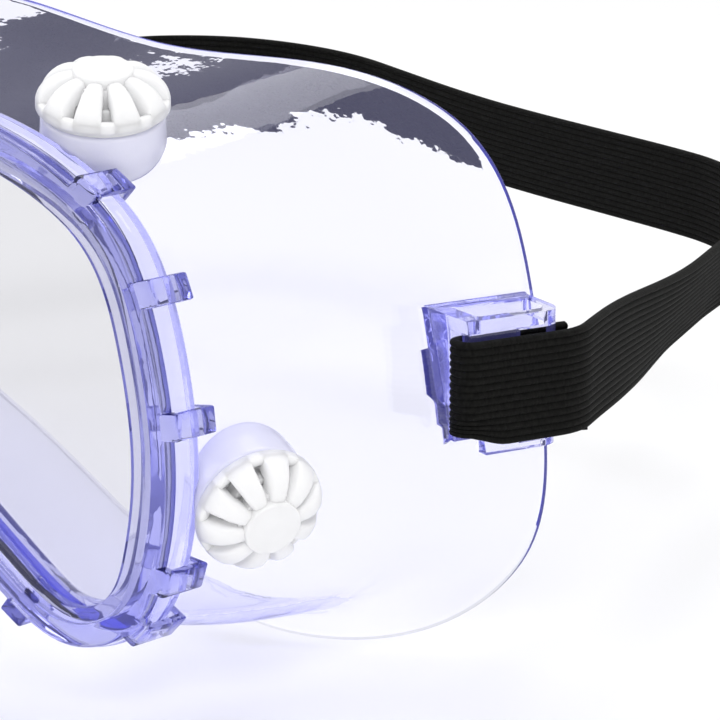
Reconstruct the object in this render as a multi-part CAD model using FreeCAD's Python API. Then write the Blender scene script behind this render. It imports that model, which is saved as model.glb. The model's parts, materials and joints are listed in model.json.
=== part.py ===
import FreeCAD, Part
import math
import os

os.makedirs("parts", exist_ok=True)

Vector = FreeCAD.Vector

# ---------------------------------------------------------------------------
# Driving dimensions, in millimetres.
# Working axes: X to the wearer's left, Y from the lens towards the head, Z up.
# Y is zero at the middle of the bezel's front face. Heights in the outlines
# are measured from the level at which the lens is widest.
# ---------------------------------------------------------------------------

widest_level = 37.4         # height of the widest level above the standing surface
lens_curve = 220.0          # radius of the lens, bent about an upright axis

# Half outline of the bezel, from the brow's middle to the nose's middle (x, z).
rim_half = [
    (0.0, 49.0), (25.0, 48.3), (46.0, 45.4), (61.0, 40.0), (70.6, 32.0),
    (76.2, 17.0), (78.0, 1.0), (76.4, -14.0), (71.5, -23.6), (63.5, -26.4),
    (53.6, -21.5), (41.0, -11.0), (25.0, -2.0), (0.0, 2.0),
]
# Matching points on the edge that touches the face.
seal_half = [
    (0.0, 56.0), (27.0, 54.6), (48.0, 49.8), (69.0, 47.8), (83.6, 38.8),
    (90.0, 17.0), (91.7, -4.0), (90.2, -21.0), (82.5, -31.6), (69.0, -36.0),
    (56.0, -33.4), (42.0, -22.0), (24.0, -7.0), (0.0, 1.0),
]
# How strongly the cheek lip is pinched in ahead of the face edge at each point.
pinch_half = [0.0, 0.0, 0.0, 0.0, 0.0, 0.0, 0.0, 0.3, 0.8, 1.0, 1.0, 0.7, 0.3, 0.0]
lip_pinch = 3.6             # deepest pinch
pinch_peak = 0.8            # where along the wall it is deepest

brow_depth = 32.0           # Y of the face edge on the middle plane
face_curve = 100.0          # radius of the head at the face edge
wall = 1.6                  # soft skirt wall
wall_inset = 2.6            # skirt's outer face inside the bezel outline

bezel_depth = 1.8
bezel_width = 5.6
bezel_step_width = 2.3      # inner tier of the bezel's front face
bezel_step_depth = 0.7
flange_out = 0.8            # soft flange proud of the bezel outline
flange_back = 5.4           # depth of the flange's rear face
ledge_width = 6.0           # soft ledge behind the lens
lens_inset = 3.3
lens_thickness = 2.0
seat_gap = 0.15
fit_gap = 0.05              # between the bezel and what it presses on

hook_places = [
    (22.0, 48.6), (46.0, 45.4), (66.6, 36.4), (74.3, 23.5), (77.9, 6.2),
    (76.2, -15.2), (72.6, -22.3), (55.0, -22.6), (33.0, -6.0),
]
hook_length = 4.4
hook_out = 2.3
hook_gap = 0.35
hook_back = 7.0
hook_grip = 1.4

# Vent seats: foot on the skirt (x, y, height from the widest level) and axis.
vent_seats = {
    "upper": ((57.9, 22.0, 41.3), (0.20, -0.15, 0.968)),
    "lower": ((78.1, 28.1, -4.8), (0.90, -0.28, -0.33)),
}
collar_radius = 8.4
collar_height = 3.4
collar_root = 6.0           # how far the collar is rooted below its foot
port_radius = 6.5
port_length = 40.0
sleeve_wall = 1.4
sleeve_reach = 6.0          # sleeve below the foot, on the wearer's side
barb_radius = 7.2
barb_height = 1.1
base_flange_radius = 8.0
base_flange = 0.5
grid_thickness = 0.9
grid_level = 1.6
grid_hole_radius = 1.15
grid_hole_circle = 3.1
grid_holes = 6
spigot_inner = 4.7
spigot_outer = 5.7
spigot_height = 2.2
spigot_windows = 10
window_width = 1.4
window_depth = 3.0
window_margin = 0.2         # wall left under a window
window_lintel = 0.7         # wall left over a window

cap_radius = 9.0
cap_rim_width = 1.8
cap_rim_height = 1.6
cap_lift = 0.2              # running gap between the cap and its base
cap_top = 9.9
hub_radius = 3.9
hub_thickness = 1.4
hub_lap = 1.0               # how far a fin runs in under the hub
stem_radius = 4.62
stem_bore = 3.4
fin_count = 10
fin_width_out = 3.2
fin_width_in = 1.6
fin_clear = 0.3             # gap from the fins to the top of the spigot
fin_dome = (6.7, 0.7)       # radius at the middle of a fin's arc, and its drop there

band_width = 15.0
band_thickness = 1.5
band_level = 6.3            # middle of the band, from the widest level
band_back = 171.0           # Y of the band's middle line behind the head

lug_foot = (86.4, 54.8)     # front corner of the lug on the skirt wall (x, y)
lug_angle = 15.9            # flare of the skirt's side wall, in degrees
lug_length = 17.0
lug_height = 8.4            # outer face of the lug above the wall
lug_root = 2.5
lug_wall = 1.7
lug_floor = 0.6
lug_plate = 2.0
lug_low = -2.7
lug_high = 16.4
lug_end_radius = 2.6        # rounding of the rear end in plan
front_slope = 0.186         # setback of the front wall per mm outwards
front_lean = 0.118          # setback of the front wall per mm downwards
slot_low = -1.7
slot_high = 14.3
window_floor = 3.6          # front window, from here outwards
under_run = 6.2             # and, under the plate, right through the leaning front wall
plate_end = 9.9             # the strap's plate ends here and the rear slot begins

band_gap = 0.25             # from the plate to the band
wrap_front = 2.5            # where the band starts its turn round the plate's edge
tail_end = 20.8
turn_in = 19.0              # where the outer layer turns in towards the head
turn_in_radius = 9.0
turn_in_lead = 3.6          # run counted past the turn's corner
band_turn = (54.5, 171.0)   # corner of the band's plan behind the head
band_turn_radius = 26.0
loop_end = 5.0              # run of band kept with the lug past its turn
bend_length = 17.0          # run of band that flexes when the band tilts

core_front = -12.0          # the skirt's cores run past both of its open ends
core_back = 110.0
cutter_height = 300.0       # tall enough to cut right through the frame
cutter_front = -30.0
cutter_back = 60.0
head_reach = 120.0          # half width of the block standing for the head
head_back = 400.0

band_outer_line = lug_height + band_gap + band_thickness / 2
band_inner_line = lug_height - lug_plate - band_gap - band_thickness / 2
plate_middle = lug_height - lug_plate / 2
band_back_face = band_back + band_thickness / 2
centre_shift = Vector(0, -band_back_face / 2, widest_level)


# ---------------------------------------------------------------------------
# Helpers
# ---------------------------------------------------------------------------

def save(shape, node):
    placed = shape.copy()
    placed.translate(centre_shift)
    placed.exportStep("parts/%s.step" % node)
    box = placed.BoundBox
    print("%-22s solids %d valid %s volume %8.1f  x %.1f %.1f y %.1f %.1f z %.1f %.1f" % (
        node, len(placed.Solids), placed.isValid(), placed.Volume,
        box.XMin, box.XMax, box.YMin, box.YMax, box.ZMin, box.ZMax))


def mirror(shape):
    return shape.mirror(Vector(0, 0, 0), Vector(1, 0, 0))


def both_halves(half):
    """Close a half outline across the middle plane."""
    return half + [(-x, z) for x, z in reversed(half[1:-1])]


def outward(points, index):
    """Outward normal of a closed clockwise outline at one of its points."""
    before = points[index - 1]
    after = points[(index + 1) % len(points)]
    dx = after[0] - before[0]
    dz = after[1] - before[1]
    length = math.hypot(dx, dz)
    return (-dz / length, dx / length)


def grown(points, distance):
    """Outline moved outwards by a distance, or inwards by a negative one."""
    moved = []
    for index, (x, z) in enumerate(points):
        normal = outward(points, index)
        moved.append((x + normal[0] * distance, z + normal[1] * distance))
    return moved


def outline_curve(points, y):
    curve = Part.BSplineCurve()
    curve.interpolate([Vector(x, y, z) for x, z in points], PeriodicFlag=True)
    return curve


def outline_wire(points, y):
    return Part.Wire([outline_curve(points, y).toShape()])


def prism(points):
    """Outline swept straight back past both faces of the frame's front."""
    face = Part.Face(outline_wire(points, cutter_front))
    return face.extrude(Vector(0, cutter_back - cutter_front, 0))


def depth_drum(depth):
    """Everything behind the surface that lies a given depth behind the lens's front."""
    return Part.makeCylinder(lens_curve - depth, cutter_height,
                             Vector(0, lens_curve, -cutter_height / 2))


def layer(near, far):
    return depth_drum(near).cut(depth_drum(far))


def front_y(x):
    return lens_curve - math.sqrt(lens_curve ** 2 - x ** 2)


def face_y(x):
    return brow_depth + x ** 2 / (2 * face_curve)


# ---------------------------------------------------------------------------
# Outlines
# ---------------------------------------------------------------------------

rim_outline = both_halves(rim_half)
seal_outline = both_halves(seal_half)
pinch_weights = pinch_half + pinch_half[-2:0:-1]


def wall_section(part, inset):
    """Closed curve on the skirt, from the bezel (part 0) to the face edge (part 1)."""
    along = max(part, 0.0)
    shape = along ** 4 * (1 - along) / (pinch_peak ** 4 * (1 - pinch_peak))
    section = []
    depths = []
    for index, (x0, z0) in enumerate(grown(rim_outline, -wall_inset)):
        x1, z1 = seal_outline[index]
        y0 = front_y(x0) + flange_back
        normal = outward(seal_outline, index)
        pull = lip_pinch * pinch_weights[index] * shape
        section.append((x0 + (x1 - x0) * part - normal[0] * pull,
                        z0 + (z1 - z0) * part - normal[1] * pull))
        depths.append(y0 + (face_y(x1) - y0) * part)
    return [Vector(x, y, z) for (x, z), y in zip(grown(section, -inset), depths)]


def closed_wire(points):
    curve = Part.BSplineCurve()
    curve.interpolate(points, PeriodicFlag=True)
    return Part.Wire([curve.toShape()])


def skirt_core(inset):
    """Solid inside the skirt's outer face, or inside its inner face with an inset."""
    parts = [-0.15, 0.05, 0.25, 0.5, 0.7, 0.86, 1.06]
    sections = [wall_section(part, inset) for part in parts]
    front = [Vector(p.x, core_front, p.z) for p in sections[0]]
    back = [Vector(p.x, core_back, p.z) for p in sections[-1]]
    wires = [closed_wire(points) for points in [front] + sections + [back]]
    return Part.makeLoft(wires, True, True)


def head_block():
    """Solid behind the surface on which the face edge lies."""
    low = -cutter_height / 2
    edge_y = face_y(head_reach)
    curve = Part.BezierCurve()
    curve.setPoles([Vector(-head_reach, edge_y, low),
                    Vector(0, 2 * brow_depth - edge_y, low),
                    Vector(head_reach, edge_y, low)])
    start = curve.value(0)
    end = curve.value(1)
    far_left = Vector(head_reach, head_back, low)
    far_right = Vector(-head_reach, head_back, low)
    sides = [Part.makeLine(end, far_left), Part.makeLine(far_left, far_right),
             Part.makeLine(far_right, start)]
    face = Part.Face(Part.Wire([curve.toShape()] + sides))
    return face.extrude(Vector(0, 0, cutter_height))


# ---------------------------------------------------------------------------
# Placing things on the skirt
# ---------------------------------------------------------------------------

def along_axis(shape, foot, axis):
    """Move a shape built up the Z axis so that it stands on a foot along an axis."""
    turned = shape.copy()
    turn = FreeCAD.Rotation(Vector(0, 0, 1), Vector(*axis))
    turned.Placement = FreeCAD.Placement(Vector(*foot), turn)
    return turned


def lug_frame(shape):
    """Move a shape from the lug's own axes (along the wall, outwards, up)."""
    moved = shape.copy()
    angle = 90.0 - lug_angle
    moved.rotate(Vector(0, 0, 0), Vector(0, 0, 1), angle)
    moved.translate(Vector(lug_foot[0], lug_foot[1], 0))
    return moved


def lug_box(along0, along1, out0, out1, low, high):
    """Box in the lug's own axes; outwards is the negative second axis."""
    return Part.makeBox(along1 - along0, out1 - out0, high - low,
                        Vector(along0, -out1, low))


# ---------------------------------------------------------------------------
# Frame parts
# ---------------------------------------------------------------------------

def make_collar(foot, axis):
    body = Part.makeCylinder(collar_radius, collar_height + collar_root, Vector(0, 0, -collar_root))
    return along_axis(body, foot, axis)


def make_port(foot, axis):
    hole = Part.makeCylinder(port_radius, port_length, Vector(0, 0, -port_length / 2))
    return along_axis(hole, foot, axis)


def ahead_of_front(setback):
    """Everything ahead of the lug's front wall, or of a plane set back inside it."""
    block = Part.makeBox(cutter_back, cutter_height, cutter_height,
                         Vector(-cutter_back, -cutter_height / 2, -cutter_height / 2))
    normal = Vector(1, front_slope, front_lean)
    turn = FreeCAD.Rotation(Vector(1, 0, 0), normal)
    block.Placement = FreeCAD.Placement(Vector(setback, 0, lug_high), turn)
    return block


def lug_block():
    """Outside of the lug, with its rear end rounded in plan."""
    corner = lug_length - lug_end_radius
    inset = lug_height - lug_end_radius
    half = lug_end_radius * math.sqrt(0.5)
    points = [Vector(-1, lug_root, lug_low), Vector(-1, -lug_height, lug_low),
              Vector(corner, -lug_height, lug_low)]
    arc = Part.Arc(points[2], Vector(corner + half, -inset - half, lug_low),
                   Vector(lug_length, -inset, lug_low)).toShape()
    root = Vector(lug_length, lug_root, lug_low)
    edges = [Part.makeLine(points[0], points[1]), Part.makeLine(points[1], points[2]), arc,
             Part.makeLine(Vector(lug_length, -inset, lug_low), root),
             Part.makeLine(root, points[0])]
    block = Part.Face(Part.Wire(edges)).extrude(Vector(0, 0, lug_high - lug_low))
    return block.cut(ahead_of_front(0.0))


def make_lug():
    """Raised strap guide: a hollow box open at the front, with a plate and a rear slot."""
    inside = lug_length - lug_wall
    under_plate = lug_height - lug_plate
    hollow = lug_box(0, inside, lug_floor, under_plate, lug_low - 1, lug_high + 1)
    hollow = hollow.cut(ahead_of_front(lug_wall))
    front_window = lug_box(-2, wrap_front, window_floor, lug_height + 1, slot_low, slot_high)
    under_window = lug_box(-2, under_run, window_floor, under_plate, slot_low, slot_high)
    rear_slot = lug_box(plate_end, inside, lug_floor, lug_height + 1, slot_low, slot_high)
    rear_window = lug_box(inside - 1, lug_length + 1, lug_floor, under_plate,
                          slot_low, slot_high)
    lug = lug_block().cut(hollow).cut(front_window).cut(under_window)
    lug = lug.cut(rear_slot).cut(rear_window)
    edge = Part.makeCylinder(lug_plate / 2, lug_high - lug_low,
                             Vector(wrap_front, -plate_middle, lug_low))
    edge = edge.cut(ahead_of_front(0.0))
    return lug_frame(lug.fuse(edge))


def make_rim():
    """Soft flange behind the bezel, with a pocket for the lens."""
    rim = prism(grown(rim_outline, flange_out)).cut(prism(grown(rim_outline, -ledge_width)))
    rim = rim.common(layer(bezel_depth, flange_back))
    pocket = prism(grown(rim_outline, -lens_inset + seat_gap))
    return rim.cut(pocket.common(layer(bezel_depth - 1, bezel_depth + lens_thickness + seat_gap)))


def make_face_frame():
    lug = make_lug()
    lugs = [lug, mirror(lug)]
    collars = [make_collar(foot, axis) for foot, axis in vent_seats.values()]
    collars += [mirror(collar) for collar in collars]
    ports = [make_port(foot, axis) for foot, axis in vent_seats.values()]
    ports += [mirror(port) for port in ports]

    body = skirt_core(0.0).multiFuse(collars).common(depth_drum(flange_back - 1.0))
    body = body.cut(head_block())
    body = body.multiFuse(lugs).cut(skirt_core(wall))
    body = body.fuse(make_rim())
    return body.cut(Part.makeCompound(ports))


def make_lens():
    return prism(grown(rim_outline, -lens_inset)).common(
        layer(bezel_depth, bezel_depth + lens_thickness))


def make_hook(curve, place):
    parameter = curve.parameter(Vector(place[0], 0, place[1]))
    point = curve.value(parameter)
    tangent = curve.tangent(parameter)[0]
    outwards = Vector(-tangent.z, 0, tangent.x)

    def block(inner, outer, near, far):
        corner = point - tangent * (hook_length / 2) + outwards * inner
        across = outwards * (outer - inner)
        side = tangent * hook_length
        loop = [corner, corner + side, corner + side + across, corner + across, corner]
        face = Part.Face(Part.makePolygon(loop))
        face.translate(Vector(0, -30, 0))
        return face.extrude(Vector(0, 90, 0)).common(layer(near, far))

    root = block(-1.0, hook_out, 0.0, bezel_depth - fit_gap)
    arm = block(flange_out + hook_gap, hook_out, 0.0, hook_back)
    grip = block(-hook_grip, hook_out, flange_back + seat_gap, hook_back)
    return root.fuse(arm).fuse(grip)


def make_lens_bezel():
    ring = prism(rim_outline).cut(prism(grown(rim_outline, -bezel_width)))
    ring = ring.common(layer(0.0, bezel_depth - fit_gap))
    tier = prism(grown(rim_outline, bezel_step_width - bezel_width))
    ring = ring.cut(tier.common(layer(-1.0, bezel_step_depth)))
    curve = outline_curve(rim_outline, 0.0)
    hooks = []
    for place in hook_places:
        hooks.append(make_hook(curve, place))
    hooks += [mirror(hook) for hook in hooks]
    return ring.multiFuse(hooks)


# ---------------------------------------------------------------------------
# Vents, built up the Z axis from the foot on the skirt
# ---------------------------------------------------------------------------

def ring(outer, inner, low, high):
    tube = Part.makeCylinder(outer, high - low, Vector(0, 0, low))
    return tube.cut(Part.makeCylinder(inner, high - low + 2, Vector(0, 0, low - 1)))


def around(shape, count, start=0.0):
    copies = []
    for index in range(count):
        turned = shape.copy()
        turned.rotate(Vector(0, 0, 0), Vector(0, 0, 1), start + 360.0 * index / count)
        copies.append(turned)
    return copies


def make_vent_base():
    flange_top = collar_height + base_flange
    sleeve_inner = port_radius - sleeve_wall
    base = ring(port_radius, sleeve_inner, -sleeve_reach, flange_top)
    base = base.fuse(ring(barb_radius, sleeve_inner, -sleeve_reach, -sleeve_reach + barb_height))
    base = base.fuse(ring(base_flange_radius, sleeve_inner, collar_height, flange_top))
    base = base.fuse(ring(spigot_outer, spigot_inner, collar_height, flange_top + spigot_height))
    grid = Part.makeCylinder(sleeve_inner + 0.2, grid_thickness, Vector(0, 0, grid_level))
    hole = Part.makeCylinder(grid_hole_radius, grid_thickness + 2,
                             Vector(grid_hole_circle, 0, grid_level - 1))
    grid = grid.cut(Part.makeCompound(around(hole, grid_holes)))
    base = base.fuse(grid)
    window = Part.makeBox(window_depth, window_width,
                          spigot_height - window_margin - window_lintel,
                          Vector(spigot_inner - 1, -window_width / 2,
                                 flange_top + window_margin))
    return base.cut(Part.makeCompound(around(window, spigot_windows, 180.0 / spigot_windows)))


def make_fin(rim_low, rim_high, spigot_top):
    """One fin: a domed plate from the hub out to the cap's rim."""
    inner = hub_radius - hub_lap
    low_in = spigot_top + fin_clear
    step = spigot_outer + fin_clear
    top_edge = Part.Arc(Vector(inner, 0, cap_top), Vector(fin_dome[0], 0, cap_top - fin_dome[1]),
                        Vector(cap_radius, 0, rim_high)).toShape()
    corners = [Vector(cap_radius, 0, rim_high), Vector(cap_radius, 0, rim_low),
               Vector(step, 0, rim_low), Vector(step, 0, low_in), Vector(inner, 0, low_in),
               Vector(inner, 0, cap_top)]
    lines = [Part.makeLine(a, b) for a, b in zip(corners, corners[1:])]
    plate = Part.Face(Part.Wire([top_edge] + lines))
    plate.translate(Vector(0, -fin_width_out / 2, 0))
    fin = plate.extrude(Vector(0, fin_width_out, 0))
    wedge = [Vector(inner, -fin_width_in / 2, 0), Vector(cap_radius + 1, -fin_width_out / 2, 0),
             Vector(cap_radius + 1, fin_width_out / 2, 0), Vector(inner, fin_width_in / 2, 0)]
    taper = Part.Face(Part.makePolygon(wedge + wedge[:1])).extrude(Vector(0, 0, 30))
    return fin.common(taper)


def make_vent_cap():
    flange_top = collar_height + base_flange
    rim_low = flange_top + cap_lift
    rim_high = rim_low + cap_rim_height
    spigot_top = flange_top + spigot_height
    cap = ring(cap_radius, cap_radius - cap_rim_width, rim_low, rim_high)
    hub_low = cap_top - hub_thickness
    cap = cap.fuse(Part.makeCylinder(hub_radius, hub_thickness, Vector(0, 0, hub_low)))
    stem = ring(stem_radius, stem_bore, rim_low, spigot_top + fin_clear)
    roof_low = spigot_top + fin_clear - 0.1
    roof = Part.makeCylinder(stem_radius, hub_low + 0.1 - roof_low, Vector(0, 0, roof_low))
    fins = around(make_fin(rim_low, rim_high, spigot_top), fin_count)
    return cap.multiFuse([stem, roof] + fins)


# ---------------------------------------------------------------------------
# Headband
# ---------------------------------------------------------------------------

def lug_point(along, out):
    """A point of the lug's own axes in the plan of the whole object."""
    angle = math.radians(lug_angle)
    return Vector(lug_foot[0] + along * math.sin(angle) + out * math.cos(angle),
                  lug_foot[1] + along * math.cos(angle) - out * math.sin(angle), 0)


def plan_path(points, radii):
    """Straight runs between plan points, joined by tangent arcs at the inner ones."""
    edges = []
    start = points[0]
    for index in range(1, len(points) - 1):
        corner = points[index]
        back = (points[index - 1] - corner).normalize()
        ahead = (points[index + 1] - corner).normalize()
        half = back.getAngle(ahead) / 2
        reach = radii[index - 1] / math.tan(half)
        first = corner + back * reach
        last = corner + ahead * reach
        centre = corner + (back + ahead).normalize() * (radii[index - 1] / math.sin(half))
        middle = centre + (corner - centre).normalize() * radii[index - 1]
        edges.append(Part.makeLine(start, first))
        edges.append(Part.Arc(first, middle, last).toShape())
        start = last
    edges.append(Part.makeLine(start, points[-1]))
    return edges


def band_solid(edges):
    """Elastic of full width along a plan path."""
    path = Part.Wire(edges)
    first = edges[0]
    start = first.valueAt(first.FirstParameter)
    run = first.tangentAt(first.FirstParameter)
    side = Vector(-run.y, run.x, 0) * (band_thickness / 2)
    up = Vector(0, 0, band_width / 2)
    level = Vector(0, 0, band_level)
    corners = [start + side - up, start + side + up, start - side + up, start - side - up]
    profile = Part.Face(Part.makePolygon(corners + corners[:1]))
    shape = path.makePipeShell([profile.OuterWire], True, False)
    shape.translate(level)
    return shape


def band_points():
    """Plan corners of the outer layer, from the lug to behind the head."""
    outer_start = lug_point(wrap_front, band_outer_line)
    turn = lug_point(turn_in, band_outer_line)
    corner = Vector(band_turn[0], band_turn[1], 0)
    middle = Vector(0, band_back, 0)
    return outer_start, turn, corner, middle


def make_band_loop():
    """End of the band: over the lug's bar, round it and back inside, to a short tail."""
    outer_start, turn, corner, middle = band_points()
    inward = (corner - turn).normalize()
    end = turn + inward * (turn_in_lead + loop_end)
    inner_start = lug_point(wrap_front, band_inner_line)
    wrap_radius = (band_outer_line - band_inner_line) / 2
    wrap_middle = lug_point(wrap_front - wrap_radius, (band_outer_line + band_inner_line) / 2)
    edges = [Part.makeLine(lug_point(tail_end, band_inner_line), inner_start),
             Part.Arc(inner_start, wrap_middle, outer_start).toShape()]
    edges += plan_path([outer_start, turn, end], [turn_in_radius])
    return band_solid(edges), end, inward


def make_band_bend(end, inward):
    return band_solid([Part.makeLine(end, end + inward * bend_length)])


def make_headband(start, corner):
    left_start = Vector(-start.x, start.y, 0)
    left_corner = Vector(-corner.x, corner.y, 0)
    points = [start, corner, left_corner, left_start]
    return band_solid(plan_path(points, [band_turn_radius, band_turn_radius]))


# ---------------------------------------------------------------------------
# Build
# ---------------------------------------------------------------------------

def build():
    save(make_face_frame(), "face_frame")
    save(make_lens(), "lens")
    save(make_lens_bezel(), "lens_bezel")
    base = make_vent_base()
    cap = make_vent_cap()
    for place, (foot, axis) in vent_seats.items():
        for shape, name in ((base, "vent_base"), (cap, "vent_cap")):
            left = along_axis(shape, foot, axis)
            save(left, "%s_%s_left" % (name, place))
            save(mirror(left), "%s_%s_right" % (name, place))
    loop, end, inward = make_band_loop()
    save(loop, "band_loop_left")
    save(mirror(loop), "band_loop_right")
    bend = make_band_bend(end, inward)
    save(bend, "band_bend_left")
    save(mirror(bend), "band_bend_right")
    corner = Vector(band_turn[0], band_turn[1], 0)
    save(make_headband(end + inward * bend_length, corner), "headband")


build()
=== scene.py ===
import json
import math

import bmesh
import bpy
import numpy as np
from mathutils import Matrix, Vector


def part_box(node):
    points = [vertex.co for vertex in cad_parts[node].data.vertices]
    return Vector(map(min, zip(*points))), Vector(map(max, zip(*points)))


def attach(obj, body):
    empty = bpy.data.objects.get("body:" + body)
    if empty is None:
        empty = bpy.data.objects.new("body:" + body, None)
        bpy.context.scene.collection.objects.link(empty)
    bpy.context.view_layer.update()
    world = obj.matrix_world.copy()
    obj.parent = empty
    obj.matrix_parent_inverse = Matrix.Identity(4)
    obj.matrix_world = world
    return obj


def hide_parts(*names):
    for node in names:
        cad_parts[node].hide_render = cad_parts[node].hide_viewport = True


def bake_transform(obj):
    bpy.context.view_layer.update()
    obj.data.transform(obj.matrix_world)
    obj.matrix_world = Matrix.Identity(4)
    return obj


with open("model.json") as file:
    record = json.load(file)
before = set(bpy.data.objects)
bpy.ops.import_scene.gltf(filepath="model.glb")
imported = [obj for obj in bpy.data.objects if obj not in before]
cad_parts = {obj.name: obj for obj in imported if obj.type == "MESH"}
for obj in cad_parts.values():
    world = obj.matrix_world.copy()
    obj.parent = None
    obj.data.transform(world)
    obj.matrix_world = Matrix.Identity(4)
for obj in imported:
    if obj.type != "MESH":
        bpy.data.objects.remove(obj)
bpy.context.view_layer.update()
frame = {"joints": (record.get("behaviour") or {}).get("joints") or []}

# ---------------------------------------------------------------------------
# Places and sizes, in millimetres in the object's own axes: X to the wearer's
# left, Y back from the bezel's front, Z up from the widest level.
# ---------------------------------------------------------------------------

MM = 0.001
BAND_LEVEL = 6.3            # middle of the headband
BEZEL_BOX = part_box("lens_bezel")
BAND_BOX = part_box("headband")
ZERO_Y = BEZEL_BOX[0].y
ZERO_Z = (BAND_BOX[0].z + BAND_BOX[1].z) / 2 - BAND_LEVEL * MM

# Angles, in radians, above which an edge is shaded sharp.
SHARP = 0.6
SHARP_MERGED = 0.7          # pieces made with booleans
SHARP_VENT = 0.9
SHARP_BAND = 1.2

# Outlines from the front: (x, z) on the left half, from the top middle to the bottom.
RIM_HALF = [
    (0.0, 49.0), (25.0, 48.3), (46.0, 45.4), (61.0, 40.0), (70.6, 32.0),
    (76.2, 17.0), (78.0, 1.0), (76.4, -14.0), (71.5, -23.6), (63.5, -26.4),
    (53.6, -21.5), (41.0, -11.0), (25.0, -2.0), (0.0, 2.0),
]
SEAL_HALF = [
    (0.0, 56.0), (27.0, 54.6), (48.0, 49.8), (69.0, 47.8), (83.6, 38.8),
    (90.0, 17.0), (91.7, -4.0), (90.2, -21.0), (82.5, -31.6), (69.0, -36.0),
    (56.0, -33.4), (42.0, -22.0), (24.0, -7.0), (0.0, 1.0),
]
PINCH_HALF = [0, 0, 0, 0, 0, 0, 0, 0.3, 0.8, 1.0, 1.0, 0.7, 0.3, 0]
STEPS = 12                  # points between neighbouring outline points

# Soft frame. A rim profile is (offset from the rim's outline, depth behind the front).
LENS_CURVE = 220.0          # radius of the bezel's front, seen from above
FACE_CURVE = 100.0          # radius of the face edge in its middle, seen from above
BROW_DEPTH = 32.0           # depth of the face edge in its middle
LIP_PINCH = 3.6             # how far the skirt draws in ahead of the cheek lip
PINCH_PEAK = 0.8            # where that is deepest, as a part of the skirt's run
WALL = 1.6
EDGE_WALL = 1.2             # wall at the face edge
EDGE_START = 0.7            # where the wall starts to thin, and over what run
EDGE_RUN = 0.3
FOOT_EXTRA = 0.35           # extra wall where the skirt leaves the flange
WALL_INSET = 2.6            # start of the skirt inside the rim's outline
FLANGE_BACK = 5.4
LEDGE = 6.0                 # inner edge of the flange
POCKET = 3.15               # edge of the pocket that holds the lens
POCKET_BACK = 3.95
BEZEL_BACK = 1.75
FLANGE_FRONT = [
    (-POCKET, BEZEL_BACK + 0.05), (0.0, 1.8), (0.22, 1.9), (0.36, 2.15), (0.42, 2.7),
    (0.42, 3.8), (0.42, 4.8), (0.32, 5.15), (0.1, 5.35), (-0.2, 5.42), (-1.4, 5.45),
    (-1.95, 5.6),
]
FLANGE_REAR = [
    (-5.6, 5.35), (-5.95, 5.1), (-LEDGE, 4.7), (-LEDGE, POCKET_BACK), (-POCKET, POCKET_BACK),
]
WALL_PARTS = [              # rings of the skirt, as parts of its run
    0.03, 0.05, 0.08, 0.12, 0.17, 0.23, 0.3, 0.38, 0.46, 0.54, 0.61, 0.67, 0.72,
    0.77, 0.81, 0.85, 0.885, 0.915, 0.94, 0.96, 0.975, 0.985,
]
WALL_EDGE = [               # (part of the run, inset) round the face edge
    (0.997, 0.03), (1.0, 0.14), (1.0, EDGE_WALL - 0.14), (0.997, EDGE_WALL - 0.03),
]
CORE_PARTS = (-0.1, 0.03, 0.12, 0.23, 0.38, 0.54, 0.67, 0.77, 0.85, 0.94, 1.04)

# Bezel and lens.
BEZEL_PROFILE = [
    (0.0, 1.75), (0.0, 0.55), (-0.08, 0.25), (-0.28, 0.06), (-0.6, 0.0), (-2.9, 0.0),
    (-3.18, 0.07), (-3.33, 0.25), (-3.4, 0.5), (-3.55, 0.66), (-3.85, 0.7), (-5.2, 0.72),
    (-5.45, 0.8), (-5.57, 1.0), (-5.6, 1.25), (-5.6, 1.75),
]
HOOKS = [                   # (x, z) near the rim's outline, on the left half
    (22.0, 48.6), (46.0, 45.4), (66.6, 36.4), (74.3, 23.5), (77.9, 6.2),
    (76.2, -15.2), (72.6, -22.3), (55.0, -22.6), (33.0, -6.0),
]
HOOK_LENGTH = 3.8
HOOK_SECTION = [            # a rim profile
    (-1.0, 0.0), (1.8, 0.0), (1.8, 6.7), (-1.4, 6.7), (-1.4, 5.5), (0.75, 5.5),
    (0.75, BEZEL_BACK), (-1.0, BEZEL_BACK),
]
HOOK_ROUNDING = 0.35
LENS_INSET = 3.3
LENS_MIDDLE = (0.0, 30.0)
LENS_SCALES = [0.02, 0.15, 0.3, 0.45, 0.6, 0.72, 0.82, 0.9, 0.95, 0.985]
LENS_FRONT = 1.8
LENS_BACK = 3.8
LENS_EDGE = [(0.996, 1.86), (1.0, 2.05), (1.0, 3.55), (0.996, 3.74)]  # (scale, depth)

# Vents. A vent profile is (radius, height) about the axis of the cap's joint.
COLLAR_RADIUS = 8.4
COLLAR_HEIGHT = 3.4
COLLAR_BITE = 0.2           # how deep a collar stands in the skirt's wall
SLEEVE_MIDDLE = 5.7         # middle of the vent sleeve's wall
COLLAR_PROFILE = [
    (SLEEVE_MIDDLE, -6.0), (SLEEVE_MIDDLE, COLLAR_HEIGHT), (7.9, COLLAR_HEIGHT),
    (8.2, 3.28), (8.36, 3.05), (COLLAR_RADIUS, 2.7), (8.42, 1.2), (8.5, 0.3),
    (8.5, -0.9), (8.4, -1.6), (8.3, -6.0),
]
PORT_PROFILE = [(0, -3.4), (SLEEVE_MIDDLE, -3.4), (SLEEVE_MIDDLE, 5.0), (0, 5.0)]
SLEEVE_PROFILE = [
    (5.1, -3.2), (6.3, -3.2), (6.45, -3.0), (6.5, -1.0), (6.6, 0.6), (7.7, 1.4),
    (7.7, 3.35), (8.0, 3.42), (8.0, 3.85), (7.9, 3.9), (5.7, 3.9), (5.7, 5.95),
    (5.55, 6.1), (4.85, 6.1), (4.7, 5.95), (4.7, 3.6), (5.1, 3.4),
]
GRID_PROFILE = [(0, 1.6), (5.2, 1.6), (5.2, 2.5), (0, 2.5)]
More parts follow.
